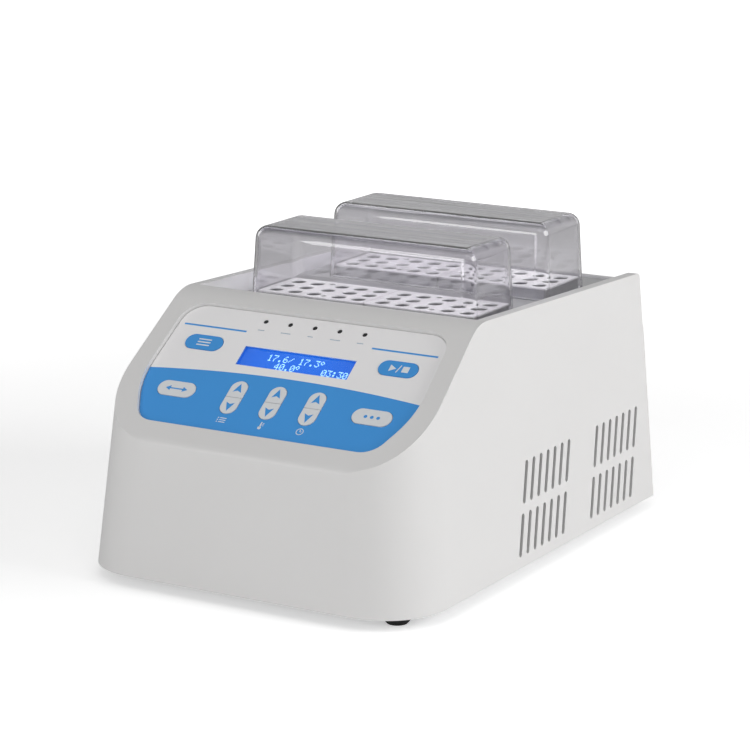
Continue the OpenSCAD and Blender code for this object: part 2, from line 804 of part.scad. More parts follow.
// Box with leaning walls and rounded edges, standing on z = 0
module lean_box(w, d, h, r) {
  k = tan(cover_lean);
  skew = asin(pow(sin(cover_lean), 2));
  e = unit([-k, k, 1]);
  difference() {
    intersection() {
      across(w + 20)
        difference() {
          polygon([[-d / 2, 0], [d / 2, 0], [d / 2 - k * h, h], [-d / 2 + k * h, h]]);
          for (s = [-1, 1])
            scrap([s * (d / 2 - k * h), h], [-s, 0], [s * k, -1], r);
        }
      along(d + 20)
        difference() {
          polygon([[-w / 2, 0], [w / 2, 0], [w / 2 - k * h, h], [-w / 2 + k * h, h]]);
          for (s = [-1, 1])
            scrap([s * (w / 2 - k * h), h], [-s, 0], [s * k, -1], r);
        }
    }
    for (mx = [0, 1], my = [0, 1])
      mirror([mx, 0, 0]) mirror([0, my, 0])
        translate([w / 2, -d / 2, 0])
          rotate([-asin(e[1]), atan2(e[0], e[2]), 0])
            translate([0, 0, -10])
              linear_extrude(h + 30) scrap([0, 0], [0, 1], [-cos(skew), -sin(skew)], r);
  }
}

module cover(y) {
  color([0.85, 0.87, 0.92, 0.35])
  translate([0, y, deck_z])
    difference() {
      lean_box(cover_w, cover_d, cover_h, cover_r);
      translate([0, 0, -1])
        lean_box(cover_w - 2 * cover_wall + 2 * tan(cover_lean), cover_d - 2 * cover_wall + 2 * tan(cover_lean),
          cover_h + 1 - cover_wall, cover_r - cover_wall);
    }
}

module cover_a() {
  cover(zones[0]);
}

module cover_b() {
  cover(zones[1]);
}

module panel_overlay() {
  color([0.84, 0.83, 0.84])
  on_panel()
    difference() {
      translate([0, 0, -recess_d]) linear_extrude(overlay_t) overlay_outline(0);
      translate([0, lcd_v, -recess_d - 1]) linear_extrude(3) square([lcd_w, lcd_h], center = true);
      translate([0, 0, -recess_d - 1]) linear_extrude(3) key_holes();
      for (i = [-2 : 2])
        translate([i * lamp_pitch, lamp_v, -recess_d - 1]) cylinder(d = lamp_d + 0.2, h = 3);
    }
}

// Clear window of the display, with a rim behind the overlay
module lcd_window() {
  color([0.2, 0.45, 0.95, 0.5])
  on_panel() {
    translate([0, lcd_v, -recess_d]) linear_extrude(overlay_t - 0.1) square([lcd_w - 0.2, lcd_h - 0.2], center = true);
    translate([0, lcd_v, -recess_d - 1.4]) linear_extrude(1.4) square([lcd_w + 1.6, lcd_h + 1.6], center = true);
  }
}

// Display: circuit board, metal frame and glass
module lcd_module() {
  color([0.1, 0.2, 0.7])
  on_panel() {
    translate([0, lcd_v, 0]) {
      translate([0, 0, board_n + 2.6]) linear_extrude(1.6) square([104, 28], center = true);
      translate([0, 0, board_n + 4.2]) linear_extrude(panel_back - 0.2 - board_n - 4.2) square([92, 23], center = true);
      translate([0, 0, board_n]) linear_extrude(2.6) translate([-44, 11]) square([36, 2.4]);
      for (sx = [-1, 1], sy = [-1, 1])
        translate([sx * 49, sy * 11, board_n]) cylinder(d = 4, h = 2.6);
    }
  }
}

module led_lamps() {
  color([0.1, 0.1, 0.1])
  on_panel()
    for (i = [-2 : 2])
      translate([i * lamp_pitch, lamp_v, 0]) {
        translate([0, 0, board_n + 4]) cylinder(d = lamp_d, h = overlay_n - board_n - 4.3);
        translate([0, 0, board_n + 3]) cylinder(d = lamp_d + 0.9, h = 1.4);
        for (s = [-1, 1])
          translate([s * 1.27 - 0.25, -0.25, board_n - board_t - 1]) cube([0.5, 0.5, board_t + 4.2]);
      }
}

module control_board() {
  color([0.1, 0.4, 0.2])
  on_panel()
    difference() {
      translate([0, board_v, board_n - board_t]) linear_extrude(board_t) square([board_w, board_h], center = true);
      for (p = board_xy)
        translate([p[0], p[1], board_n - board_t - 1]) cylinder(d = 3.2, h = board_t + 2);
      for (i = [-2 : 2], s = [-1, 1])
        translate([i * lamp_pitch + s * 1.27, lamp_v, board_n - board_t - 1]) cylinder(d = 0.9, h = board_t + 2);
    }
}

module board_screws() {
  color([0.75, 0.76, 0.78])
  on_panel()
    for (p = board_xy)
      translate([p[0], p[1], board_n - board_t]) rotate([180, 0, 0]) screw(2.5, board_t + 5, 5, 1.6);
}

// One tact switch under each key
module key_switches() {
  color([0.2, 0.2, 0.2])
  on_panel()
    for (p = key_xy)
      translate([p[0], p[1], board_n]) {
        translate([-3, -3, 0]) cube([6, 6, switch_top - board_n - 0.8]);
        cylinder(d = 3.4, h = switch_top - board_n);
      }
}

// Key cap with its stem, standing key_travel and a little more above its switch
module key_body(p) {
  stem_low = switch_top + key_travel + 0.1;
  cap_low = panel_back + 0.6;
  on_panel() {
    translate([0, 0, cap_low]) linear_extrude(overlay_n + 0.35 - cap_low) children();
    translate([p[0], p[1], stem_low]) cylinder(d = 4.4, h = cap_low - stem_low + 0.1);
  }
}

module key_option() {
  color([0.25, 0.53, 0.77]) key_body(key_xy[0]) key_shape("option", key_gap);
}

module key_start() {
  color([0.25, 0.53, 0.77]) key_body(key_xy[1]) key_shape("start", key_gap);
}

module key_swap() {
  color([0.93, 0.93, 0.94]) key_body(key_xy[2]) key_shape("swap", key_gap);
}

module key_mode() {
  color([0.93, 0.93, 0.94]) key_body(key_xy[3]) key_shape("mode", key_gap);
}

module key_prog_up() {
  color([0.93, 0.93, 0.94]) key_body(key_xy[4]) arrow_shape(-1, 1, key_gap);
}

module key_prog_down() {
  color([0.93, 0.93, 0.94]) key_body(key_xy[5]) arrow_shape(-1, -1, key_gap);
}

module key_temp_up() {
  color([0.93, 0.93, 0.94]) key_body(key_xy[6]) arrow_shape(0, 1, key_gap);
}

module key_temp_down() {
  color([0.93, 0.93, 0.94]) key_body(key_xy[7]) arrow_shape(0, -1, key_gap);
}

module key_time_up() {
  color([0.93, 0.93, 0.94]) key_body(key_xy[8]) arrow_shape(1, 1, key_gap);
}

module key_time_down() {
  color([0.93, 0.93, 0.94]) key_body(key_xy[9]) arrow_shape(1, -1, key_gap);
}

// Main circuit board on standoffs in the front half of the base
main_w = 150;
main_d = 92;
main_y = front_y + 101.5;
main_z = base_top + 10;
main_xy = [for (sx = [-1, 1], sy = [-1, 1]) [sx * (main_w / 2 - 5), main_y + sy * (main_d / 2 - 5)]];

module standoffs() {
  color([0.8, 0.72, 0.4])
  for (p = main_xy)
    translate([p[0], p[1], 0]) {
      translate([0, 0, base_top]) cylinder(d = 6, h = main_z - base_top, $fn = 6);
      translate([0, 0, foot_h]) cylinder(d = 3, h = main_z - foot_h + 3.4);
      translate([0, 0, main_z + 1.6]) cylinder(d = 5.4, h = 1.8);
    }
}

module main_board() {
  color([0.1, 0.4, 0.2])
  difference() {
    translate([-main_w / 2, main_y - main_d / 2, main_z]) cube([main_w, main_d, 1.6]);
    for (p = main_xy)
      translate([p[0], p[1], main_z - 1]) cylinder(d = 3.4, h = 4);
  }
}

// Heat sink, transformer, relays and capacitors on the main board
module board_parts() {
  z = main_z + 1.6;
  color([0.35, 0.36, 0.38])
  translate([0, main_y, z]) {
    translate([-60, -32, 0]) cube([36, 3, 26]);
    for (i = [0 : 5])
      translate([-60 + i * 6.6, -32, 0]) cube([2, 18, 26]);
    translate([-12, -30, 0]) cube([34, 28, 24]);
    for (i = [0 : 2])
      translate([30 + i * 12, -26, 0]) cylinder(d = 9, h = 18);
    for (i = [0 : 1])
      translate([-56 + i * 24, 12, 0]) cube([19, 15.5, 15]);
    translate([6, 10, 0]) cube([14, 14, 2.4]);
    translate([34, 8, 0]) cube([28, 8, 9]);
    translate([34, 24, 0]) cube([28, 8, 9]);
  }
}

// Switched-mode supply in a vented metal case behind the main board
supply_w = 98;
supply_d = 66;
supply_h = 30;
supply_xc = 34;
supply_yc = body_d / 2 - 71.5;
supply_xy = [for (sx = [-1, 1], sy = [-1, 1]) [supply_xc + sx * (supply_w / 2 - 7), supply_yc + sy * (supply_d / 2 - 7)]];

module power_supply() {
  color([0.7, 0.71, 0.73])
  translate([supply_xc, supply_yc, base_top])
    difference() {
      translate([-supply_w / 2, -supply_d / 2, 0]) cube([supply_w, supply_d, supply_h]);
      translate([-supply_w / 2 + 1.2, -supply_d / 2 + 12, 1.2]) cube([supply_w - 2.4, supply_d - 13.2, supply_h - 2.4]);
      for (i = [-5 : 5], j = [-1 : 1])
        translate([i * 8, 6 + j * 14, supply_h - 3]) linear_extrude(5) pill(5, 2.4);
      translate([-supply_w / 2 + 8, -supply_d / 2 - 1, 12]) cube([supply_w - 16, 9, 30]);
      for (sx = [-1, 1], sy = [-1, 1])
        translate([sx * (supply_w / 2 - 7), sy * (supply_d / 2 - 7), -1]) cylinder(d = 3.1, h = 6);
    }
}

module supply_screws() {
  color([0.75, 0.76, 0.78])
  for (p = supply_xy)
    translate([p[0], p[1], foot_h]) rotate([180, 0, 0]) screw(3, base_t + 1.1, 5.6, 1.8);
}

// Neck of the mains inlet behind its flange, grown by g
module inlet_neck(g) {
  square([30 + 2 * g, 40 + 2 * g], center = true);
}

socket_v = -7;
drawer_v = 13.5;
drawer_w = 24;
drawer_h = 9;

// Appliance inlet: flange, socket with cut lower corners, and the fuse drawer's slot
module mains_inlet() {
  color([0.1, 0.1, 0.1])
  on_rear(inlet_x, inlet_z)
    difference() {
      union() {
        linear_extrude(2.6) round_rect(48, 44, 3);
        translate([0, 0, -24]) linear_extrude(25) inlet_neck(0);
      }
      translate([0, 0, -18])
        linear_extrude(30)
          translate([0, socket_v])
            polygon([[-12.2, 8.2], [12.2, 8.2], [12.2, -3.6], [7.6, -8.2], [-7.6, -8.2], [-12.2, -3.6]]);
      translate([-drawer_w / 2 - 0.3, drawer_v - drawer_h / 2 - 0.3, -21]) cube([drawer_w + 0.6, drawer_h + 0.6, 30]);
      for (s = [-1, 1])
        translate([s * 20, 0, -1]) cylinder(d = 3.4, h = 6);
      for (p = [[0, 4], [-7, -0.5], [7, -0.5]])
        translate([p[0] - 1.3, socket_v + p[1] - 2.4, -26]) cube([2.6, 4.8, 10]);
    }
}

// Three blades inside the inlet
module inlet_pins() {
  color([0.8, 0.75, 0.5])
  on_rear(inlet_x, inlet_z)
    for (p = [[0, 4], [-7, -0.5], [7, -0.5]])
      translate([p[0] - 1, socket_v + p[1] - 2.1, -30]) cube([2, 4.2, 27]);
}

module inlet_screws() {
  color([0.75, 0.76, 0.78])
  for (s = [-1, 1])
    on_rear(inlet_x + s * 20, inlet_z) translate([0, 0, 2.6]) screw(3, 9, 5.4, 1.6);
}

// Drawer for two fuses, which slides straight out of the inlet
module fuse_drawer() {
  color([0.14, 0.14, 0.14])
  on_rear(inlet_x, inlet_z)
    translate([0, drawer_v, 0])
      difference() {
        union() {
          translate([-drawer_w / 2, -drawer_h / 2, -20.6]) cube([drawer_w, drawer_h, 22]);
          translate([-drawer_w / 2, -drawer_h / 2, 1.4]) cube([drawer_w, drawer_h, 1.6]);
        }
        for (i = [0, 1])
          translate([0, 0.9, -6 - 7.2 * i]) {
            rotate([0, 90, 0]) cylinder(d = 5.6, h = 20.8, center = true);
            translate([-10.4, 0, -2.8]) cube([20.8, 10, 5.6]);
          }
        translate([-5, -drawer_h / 2 - 1, 1.6]) cube([10, 2.6, 3]);
      }
}

module fuses() {
  color([0.85, 0.87, 0.9])
  on_rear(inlet_x, inlet_z)
    for (i = [0, 1])
      translate([0, drawer_v + 0.9, -6 - 7.2 * i]) rotate([0, 90, 0]) cylinder(d = 5.2, h = 20, center = true);
}

switch_w = 19;
switch_h = 13;
rocker_w = 14.6;
rocker_h = 9.6;
pivot_n = -3.4;

// Power switch: flange and body round the rocker, with a pin for it
module switch_body() {
  color([0.1, 0.1, 0.1])
  on_rear(inlet_x + switch_dx, inlet_z) {
    difference() {
      union() {
        linear_extrude(1.8) round_rect(21.6, 15.6, 1.2);
        translate([0, 0, -17]) linear_extrude(17.5) square([switch_w, switch_h], center = true);
      }
      translate([-rocker_w / 2 - 0.4, -rocker_h / 2 - 0.4, -9]) cube([rocker_w + 0.8, rocker_h + 0.8, 20]);
      for (s = [-1, 1])
        translate([s * 5 - 3, 0, -18]) cube([1, 1, 1]);
    }
    translate([0, 0, pivot_n]) rotate([90, 0, 0]) cylinder(d = 2, h = rocker_h + 1.4, center = true);
    for (s = [-1, 1])
      translate([s * 5 - 0.4, -2.4, -25]) cube([0.8, 4.8, 9]);
  }
}

// Rocker: a shallow vee that tips about the pin
module power_rocker() {
  color([0.12, 0.12, 0.12])
  on_rear(inlet_x + switch_dx, inlet_z)
    translate([0, 0, pivot_n])
      rotate([0, -rocker_tip, 0])
        rotate([90, 0, 0])
          difference() {
            linear_extrude(rocker_h, center = true)
              difference() {
                polygon([[-6.8, 1], [-3, -3.4], [3, -3.4], [6.8, 1], [6.8, 5.6], [0, 4.4], [-6.8, 5.6]]);
                circle(d = 2.1);
              }
          }
}

upper_casing();
base_plate();
base_screws();
feet();
foot_screws();
deck_plate();
deck_screws();
panel_overlay();
lcd_window();
lcd_module();
led_lamps();
control_board();
board_screws();
key_switches();
key_option();
key_start();
key_swap();
key_mode();
key_prog_up();
key_prog_down();
key_temp_up();
key_temp_down();
key_time_up();
key_time_down();
pot_a();
pot_b();
pot_screws();
heater_plate_a();
heater_plate_b();
foil_heater_a();
foil_heater_b();
mat_a();
mat_b();
sensors();
thermal_cutouts();
block_a_left();
block_a_right();
block_b_left();
block_b_right();
cover_a();
cover_b();
main_board();
standoffs();
board_parts();
power_supply();
supply_screws();
mains_inlet();
inlet_pins();
inlet_screws();
fuse_drawer();
fuses();
switch_body();
power_rocker();
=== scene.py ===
"""Dresses the dual-block dry bath incubator: moulded casing, printed panel, tube blocks, clear covers."""
import json
import math

import bmesh
import bpy
from mathutils import Matrix, Vector


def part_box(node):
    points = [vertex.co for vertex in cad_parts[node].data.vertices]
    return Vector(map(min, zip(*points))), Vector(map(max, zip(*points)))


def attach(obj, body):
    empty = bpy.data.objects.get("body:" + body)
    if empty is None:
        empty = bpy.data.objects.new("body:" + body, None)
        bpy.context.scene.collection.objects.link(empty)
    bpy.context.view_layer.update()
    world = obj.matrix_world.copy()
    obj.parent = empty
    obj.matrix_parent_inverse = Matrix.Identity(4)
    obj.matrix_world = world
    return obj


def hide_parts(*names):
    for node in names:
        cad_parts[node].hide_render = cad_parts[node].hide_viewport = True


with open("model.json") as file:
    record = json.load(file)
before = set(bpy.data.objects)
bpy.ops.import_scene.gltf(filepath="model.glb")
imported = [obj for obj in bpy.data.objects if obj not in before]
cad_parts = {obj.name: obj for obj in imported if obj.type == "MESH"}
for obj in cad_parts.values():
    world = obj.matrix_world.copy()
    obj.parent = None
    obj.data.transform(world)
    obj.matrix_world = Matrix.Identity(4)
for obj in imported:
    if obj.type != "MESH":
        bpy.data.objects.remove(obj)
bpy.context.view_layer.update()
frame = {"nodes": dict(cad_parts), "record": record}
scene = bpy.context.scene
MM = 0.001

# ---------------------------------------------------------------- sizes shared with the solids, mm
BODY_D = 327
FOOT_H = 7.5
FRONT_H = 84
FRONT_LEAN = math.radians(4.7)
PANEL_TILT = math.radians(36.6)
PANEL_MID = 56.4
RECESS_D = 3.2
OVERLAY_T = 0.8
OVERLAY_N = -RECESS_D + OVERLAY_T
KEY_TOP = OVERLAY_N + 0.35
LCD_W, LCD_H, LCD_V = 77, 14.8, 17.4
LCD_FACE = -6.0
LAMP_PITCH, LAMP_V = 17.2, 45
KEY_X, KEY_UP_V, KEY_LOW_V = 67.3, 22.9, -14.6
ARROW_PITCH, ARROW_L = 27, 25.6
ARROW_X, ARROW_V = 0.3, KEY_LOW_V - 0.2
KEY_W = 11.8
COVER_WALL, COVER_LEAN, COVER_ROUND = 1.9, 2.6, 7.5

# ---------------------------------------------------------------- sizes of the print, mm
INK_T = 0.04
BLUE_TOP, BLUE_BEND = 4.3, 0.00061
RULE_V, RULE_U, RULE_HALF_L, RULE_HALF_T = 35.6, 65.8, 22.2, 0.65
ICON_L, ICON_LINE = 9.0, 0.9
ARROW_MID = 7.35
SMALL_LINE = 0.45
SIGN_DROP = 4.6
LAMP_MARK_DROP = 7.0
LAMP_MARK_LENGTHS = (4.4, 6.8, 3.6, 6.8, 4.4)

crease_y = -BODY_D / 2 + math.tan(FRONT_LEAN) * FRONT_H
crease_z = FOOT_H + FRONT_H
PANEL_O = Vector((0, crease_y + PANEL_MID * math.cos(PANEL_TILT),
                  crease_z + PANEL_MID * math.sin(PANEL_TILT)))
PANEL_V = Vector((0, math.cos(PANEL_TILT), math.sin(PANEL_TILT)))
PANEL_N = Vector((0, -math.sin(PANEL_TILT), math.cos(PANEL_TILT)))


def panel_matrix(u=0.0, v=0.0, n=0.0, turn=0.0):
    """Place on the panel: u right, v up the slope, n out of the bezel, in millimetres; turn in degrees."""
    spot = (PANEL_O + Vector((u, 0, 0)) + PANEL_V * v + PANEL_N * n) * MM
    slope = Matrix.Rotation(PANEL_TILT, 4, "X")
    return Matrix.Translation(spot) @ slope @ Matrix.Rotation(math.radians(turn), 4, "Z")


# ---------------------------------------------------------------- camera
EYE_AT = (0.8931, -1.5345, 0.5360)
EYE_AZIMUTH, EYE_ELEVATION, EYE_ROLL = (math.radians(a) for a in (30.247, 13.612, 0.134))
EYE_LENS, EYE_SENSOR = 141.6, 36


def aim_camera():
    az, el, roll = EYE_AZIMUTH, EYE_ELEVATION, EYE_ROLL
    back = Vector((math.sin(az) * math.cos(el), -math.cos(az) * math.cos(el), math.sin(el)))
    right = Vector((math.cos(az), math.sin(az), 0))
    up = back.cross(right)
    right, up = (right * math.cos(roll) + up * math.sin(roll),
                 up * math.cos(roll) - right * math.sin(roll))
    cam = bpy.data.cameras.new("eye")
    cam.sensor_width = EYE_SENSOR
    cam.lens = EYE_LENS
    eye = bpy.data.objects.new("eye", cam)
    scene.collection.objects.link(eye)
    place = Matrix((right, up, back)).transposed().to_4x4()
    place.translation = Vector(EYE_AT)
    eye.matrix_world = place
    cam.clip_end = 50
    scene.camera = eye


# ---------------------------------------------------------------- shader writing
class Wire:
    """A shader value that can be added, multiplied and compared."""

    def __init__(self, finish, socket):
        self.finish, self.socket = finish, socket

    def __add__(self, other):
        return self.finish.math("ADD", self, other)

    def __sub__(self, other):
        return self.finish.math("SUBTRACT", self, other)

    def __rsub__(self, other):
        return self.finish.math("SUBTRACT", other, self)

    def __mul__(self, other):
        return self.finish.math("MULTIPLY", self, other)

    def __truediv__(self, other):
        return self.finish.math("DIVIDE", self, other)

    def __abs__(self):
        return self.finish.math("ABSOLUTE", self)

    def below(self, edge, blur):
        """1 where the value is under edge, 0 above it, over a soft step of width blur."""
        return self.finish.node("ShaderNodeMapRange", {"interpolation_type": "SMOOTHSTEP"},
                                {0: self, 1: edge + blur / 2, 2: edge - blur / 2, 3: 0.0, 4: 1.0})


class Finish:
    """One material: its nodes, and the few shorthands that its maths needs."""

    def __init__(self, name, color, rough, metal=0.0, **constants):
        self.material = bpy.data.materials.new(name)
        self.material.use_nodes = True
        self.tree = self.material.node_tree
        self.shader = self.tree.nodes["Principled BSDF"]
        self.set("Base Color", (*color, 1.0))
        self.set("Roughness", rough)
        self.set("Metallic", metal)
        for key, value in constants.items():
            self.set(key.replace("_", " ").title().replace("Ior", "IOR"), value)

    def set(self, name, value):
        socket = self.shader.inputs[name]
        if isinstance(value, Wire):
            self.tree.links.new(value.socket, socket)
        else:
            socket.default_value = value

    def node(self, kind, settings=None, inputs=None, out=0):
        made = self.tree.nodes.new(kind)
        for key, value in (settings or {}).items():
            setattr(made, key, value)
        for key, value in (inputs or {}).items():
            if isinstance(value, Wire):
                self.tree.links.new(value.socket, made.inputs[key])
            else:
                made.inputs[key].default_value = value
        return Wire(self, made.outputs[out])

    def math(self, operation, a, b=0.0):
        return self.node("ShaderNodeMath", {"operation": operation}, {0: a, 1: b})

    def greater(self, a, b):
        return self.math("MAXIMUM", a, b)

    def place(self):
        return self.node("ShaderNodeTexCoord", out=3)

    def axes(self):
        split = self.node("ShaderNodeSeparateXYZ", None, {0: self.place()})
        return [Wire(self, s) for s in split.socket.node.outputs]

    def noise(self, scale, detail=2.0, rough=0.5, vector=None):
        inputs = {"Vector": vector or self.place(), "Scale": scale, "Detail": detail, "Roughness": rough}
        return self.node("ShaderNodeTexNoise", None, inputs)

    def stretched(self, x, y, z):
        return self.node("ShaderNodeMapping", None, {"Vector": self.place(), "Scale": (x, y, z)})

    def blend(self, mask, low, high):
        """Colour low where mask is 0, high where it is 1."""
        low = low if isinstance(low, Wire) else (*low, 1.0)
        high = high if isinstance(high, Wire) else (*high, 1.0)
        return self.node("ShaderNodeMix", {"data_type": "RGBA"}, {0: mask, 6: low, 7: high}, out=2)

    def bump(self, height, distance, strength):
        inputs = {"Height": height, "Distance": distance, "Strength": strength}
        self.set("Normal", self.node("ShaderNodeBump", None, inputs))

    def let_light_through(self, tint):
        """Lets the lamps shine through a clear piece instead of leaving its inside in the dark."""
        clear = self.tree.nodes.new("ShaderNodeBsdfTransparent")
        clear.inputs["Color"].default_value = (*tint, 1.0)
        rays = self.tree.nodes.new("ShaderNodeLightPath")
        mix = self.tree.nodes.new("ShaderNodeMixShader")
        self.tree.links.new(rays.outputs["Is Shadow Ray"], mix.inputs[0])
        self.tree.links.new(self.shader.outputs[0], mix.inputs[1])
        self.tree.links.new(clear.outputs[0], mix.inputs[2])
        self.tree.links.new(mix.outputs[0], self.tree.nodes["Material Output"].inputs[0])

    def uv_of_panel(self):
        """Panel coordinates in millimetres: u to the right, v up the slope from the overlay's middle."""
        x, y, z = self.axes()
        u = x * 1000.0
        run, rise = y * 1000.0 - PANEL_O.y, z * 1000.0 - PANEL_O.z
        return u, run * math.cos(PANEL_TILT) + rise * math.sin(PANEL_TILT)


LIGHT_GRAY = (0.935, 0.925, 0.93)
PANEL_BLUE = (0.05, 0.33, 0.80)
CAP_WHITE = (0.80, 0.82, 0.84)


def moulded_casing():
    """Satin light-gray moulding with a fine grain."""
    f = Finish("moulded_casing", (0.77, 0.762, 0.757), 0.4, specular_ior_level=0.45)
    cloud = f.noise(9.0, 3.0)
    f.set("Base Color", f.blend(cloud, (0.755, 0.748, 0.743), (0.785, 0.778, 0.772)))
    f.set("Roughness", f.noise(60.0, 3.0) * 0.10 + 0.34)
    f.bump(f.noise(2600.0, 2.0) + f.noise(900.0, 2.0) * 0.4, 0.00002, 0.35)
    return f.material


def printed_film():
    """Light gray film with a blue field under a shallow arc, and two rules."""
    f = Finish("printed_film", LIGHT_GRAY, 0.38, specular_ior_level=0.5)
    u, v = f.uv_of_panel()
    arc = v + u * u * BLUE_BEND
    field = arc.below(BLUE_TOP, 0.25)
    rules = abs(v - RULE_V).below(RULE_HALF_T, 0.2) * abs(abs(u) - RULE_U).below(RULE_HALF_L, 0.2)
    ink = f.greater(field, rules)
    tone = f.noise(14.0, 2.0) * 0.06 + 0.97
    paper = f.blend(ink, LIGHT_GRAY, PANEL_BLUE)
    f.set("Base Color", f.node("ShaderNodeVectorMath", {"operation": "SCALE"}, {0: paper, 3: tone}))
    f.set("Roughness", f.noise(220.0, 2.0) * 0.08 + 0.34)
    f.bump(f.noise(3200.0, 1.0), 0.000015, 0.4)
    return f.material


def key_print(name, color):
    f = Finish(name, color, 0.4)
    f.set("Base Color", f.blend(f.noise(120.0, 2.0), [c * 0.96 for c in color], color))
    f.set("Roughness", f.noise(400.0, 2.0) * 0.1 + 0.34)
    f.bump(f.noise(3200.0, 1.0), 0.000015, 0.4)
    return f.material


def ink(name, color):
    f = Finish(name, color, 0.45)
    f.set("Base Color", f.blend(f.noise(900.0, 1.0), [c * 0.94 for c in color], color))
    return f.material


def brushed_deck():
    """Satin sheet, brushed from side to side."""
    f = Finish("satin_deck", (0.52, 0.52, 0.525), 0.42, 0.5)
    grain = f.noise(1.0, 3.0, 0.6, f.stretched(18.0, 900.0, 900.0))
    f.set("Base Color", f.blend(grain, (0.47, 0.47, 0.475), (0.57, 0.57, 0.575)))
    f.set("Roughness", grain * 0.14 + 0.38)
    f.bump(grain, 0.00002, 0.3)
    return f.material


def block_metal():
    """Blasted top face; its machined walls and the wells under it carry painted shade, streaked by tool
    marks.
    """
    f = Finish("blasted_aluminium", (0.84, 0.835, 0.83), 0.36, 0.6)
    speck = f.noise(1500.0, 2.0)
    skin, blur = 0.9 * MM, 0.4 * MM
    below_top = f.axes()[2].below(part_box("block_a_left")[1][2] - skin, blur)
    top = f.blend(f.noise(40.0, 3.0), (0.80, 0.795, 0.79), (0.90, 0.895, 0.89))
    tool_marks = f.noise(1.0, 3.0, 0.6, f.stretched(30.0, 30.0, 600.0))
    # painted shade: everything below the top face is coloured darker, standing in for shade and dull
    # reflection on the walls and in the wells
    shaded_walls = f.blend(tool_marks, (0.34, 0.34, 0.345), (0.52, 0.52, 0.525))
    f.set("Base Color", f.blend(below_top, top, shaded_walls))
    f.set("Metallic", below_top * 0.3 + 0.6)
    f.set("Roughness", speck * 0.16 + 0.30)
    f.bump(speck, 0.00003, 0.35)
    return f.material


def plain_metal(name, color, rough, metal=1.0):
    f = Finish(name, color, rough, metal)
    f.set("Base Color", f.blend(f.noise(80.0, 3.0), [c * 0.9 for c in color], color))
    f.set("Roughness", f.noise(700.0, 2.0) * 0.14 + rough - 0.07)
    f.bump(f.noise(1400.0, 2.0), 0.00002, 0.25)
    return f.material


def moulded(name, color, rough, grain=2200.0):
    f = Finish(name, color, rough)
    f.set("Base Color", f.blend(f.noise(60.0, 3.0), [c * 0.85 for c in color], color))
    f.set("Roughness", f.noise(500.0, 2.0) * 0.12 + rough - 0.06)
    f.bump(f.noise(grain, 2.0), 0.00003, 0.35)
    return f.material


def clear_cover():
    """Smoky clear moulding: its tint deepens where it is seen edge on, partly for the longer path through
    the wall and partly as painted shade; its roof carries a painted reflection in streaks, and light falls
    through it.
    """
    f = Finish("clear_polycarbonate", (0.80, 0.79, 0.82), 0.03, 0.0,
               transmission_weight=1.0, ior=1.28, specular_ior_level=0.5, coat_weight=1.0)
    # partly painted shade: the wall tint darkens edge on, both for the longer path through the wall and
    # for the darker surroundings it mirrors
    edge_on = f.node("ShaderNodeLayerWeight", None, {"Blend": 0.5}, out=1)
    wall = f.blend(f.math("POWER", edge_on, 3.0), (0.93, 0.92, 0.945), (0.49, 0.48, 0.53))
    roof_band = 3.0 * MM
    side = f.axes()[2].below(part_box("cover_a")[1][2] - roof_band, roof_band)
    # painted reflection: dark and light streaks and a darker roof stand in for the surroundings mirrored
    # in the top
    reflection_streaks = f.noise(1.0, 3.0, 0.6, f.stretched(4.0, 150.0, 1.0))
    roof_reflection = f.blend((reflection_streaks - 0.42) * 8.0, (0.26, 0.25, 0.30), (0.66, 0.65, 0.69))
    f.bump((1.0 - side) * reflection_streaks, 0.0006, 0.6)
    f.set("Base Color", f.blend(side, roof_reflection, wall))
    f.set("Roughness", f.noise(30.0, 2.0) * 0.03 + 0.015)
    f.let_light_through((0.9, 0.9, 0.92))
    return f.material


def clear_lens():
    """Faintly blue window and fuse glass."""
    f = Finish("clear_lens", (0.62, 0.86, 1.0), 0.08, 0.0, transmission_weight=1.0, ior=1.2)
    f.set("Roughness", f.noise(200.0, 1.0) * 0.04 + 0.05)
    return f.material


def lit_display():
    """Blue backlight, a little darker towards the ends, behind a faint grid of dots."""
    f = Finish("lit_display", (0.01, 0.07, 0.55), 0.3)
    u, v = f.uv_of_panel()
    half_w, cell_u, cell_v = 39.0, 0.74, 0.86
    glow = (abs(u) / half_w).below(0.95, 1.3)
    cells = f.math("FRACT", u / cell_u).below(0.86, 0.2) * f.math("FRACT", v / cell_v).below(0.86, 0.2)
    deep = f.blend(glow, (0.012, 0.10, 0.62), (0.018, 0.20, 0.95))
    f.set("Base Color", (0.005, 0.03, 0.2, 1.0))
    f.set("Emission Color", f.blend(cells * 0.16, deep, (0.03, 0.30, 1.0)))
    f.set("Emission Strength", 0.62)
    return f.material


def lit_dot():
    f = Finish("lit_dot", (0.8, 0.85, 0.95), 0.4)
    f.set("Base Color", f.blend(f.noise(300.0, 1.0), (0.6, 0.7, 0.9), (0.7, 0.8, 0.95)))
    f.set("Emission Color", (0.62, 0.78, 1.0, 1.0))
    f.set("Emission Strength", 0.9)
    return f.material


